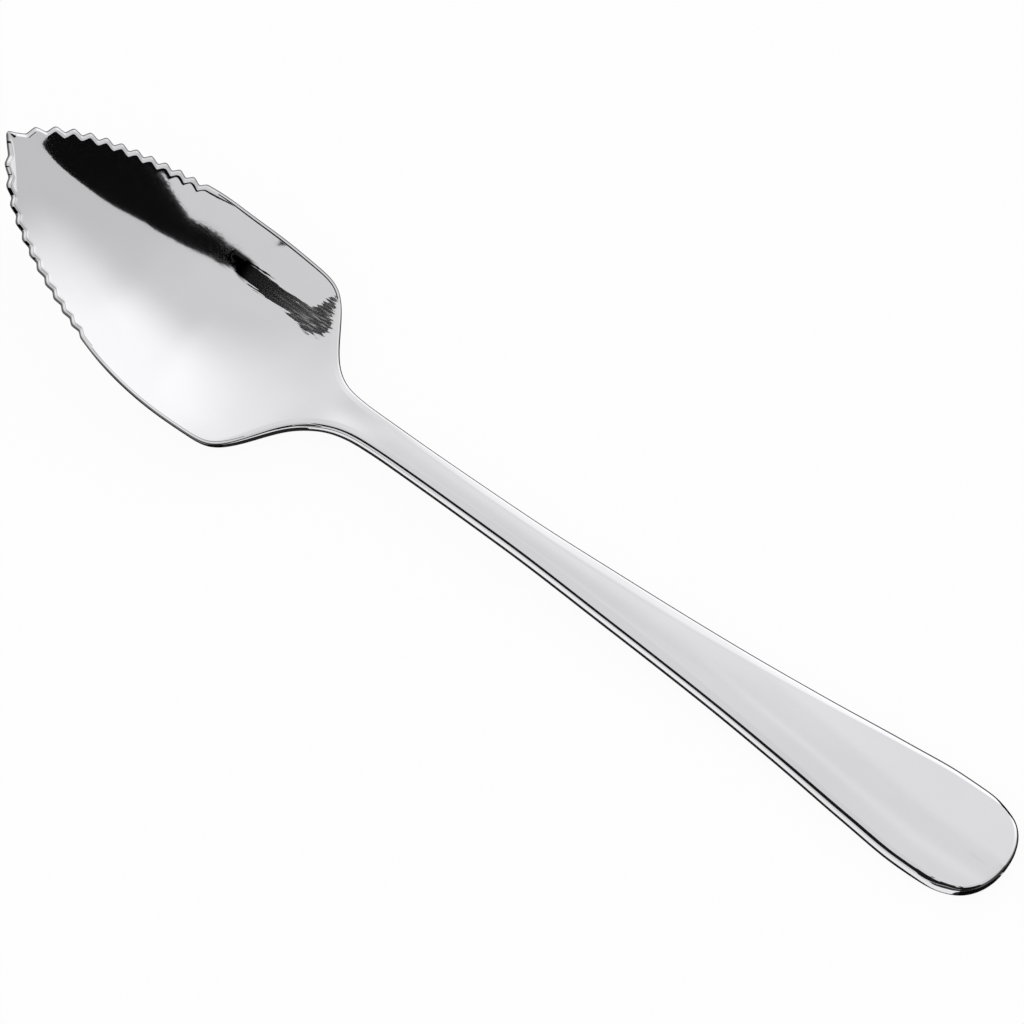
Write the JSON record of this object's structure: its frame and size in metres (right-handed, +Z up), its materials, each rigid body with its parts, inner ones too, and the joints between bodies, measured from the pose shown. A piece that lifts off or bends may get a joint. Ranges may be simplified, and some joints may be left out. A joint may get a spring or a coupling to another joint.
{
  "type": "grapefruit spoon",
  "caption": "One-piece polished steel spoon whose pointed oval bowl has a serrated tip, flowing through a narrow neck into a long flared handle with a rounded end.",
  "frame": {"origin": "on the table that the spoon rests on, halfway along its length and on its centre line", "axes": "+X from the tip of the bowl to the end of the handle, +Z up out of the dish, +Y across the spoon"},
  "size_m": [0.1556, 0.0306, 0.0165],
  "materials": {
    "steel": "mirror-polished stainless steel with fine polishing lines"
  },
  "bodies": {
    "root": {"spoon": "steel"}
  },
  "joints": []
}
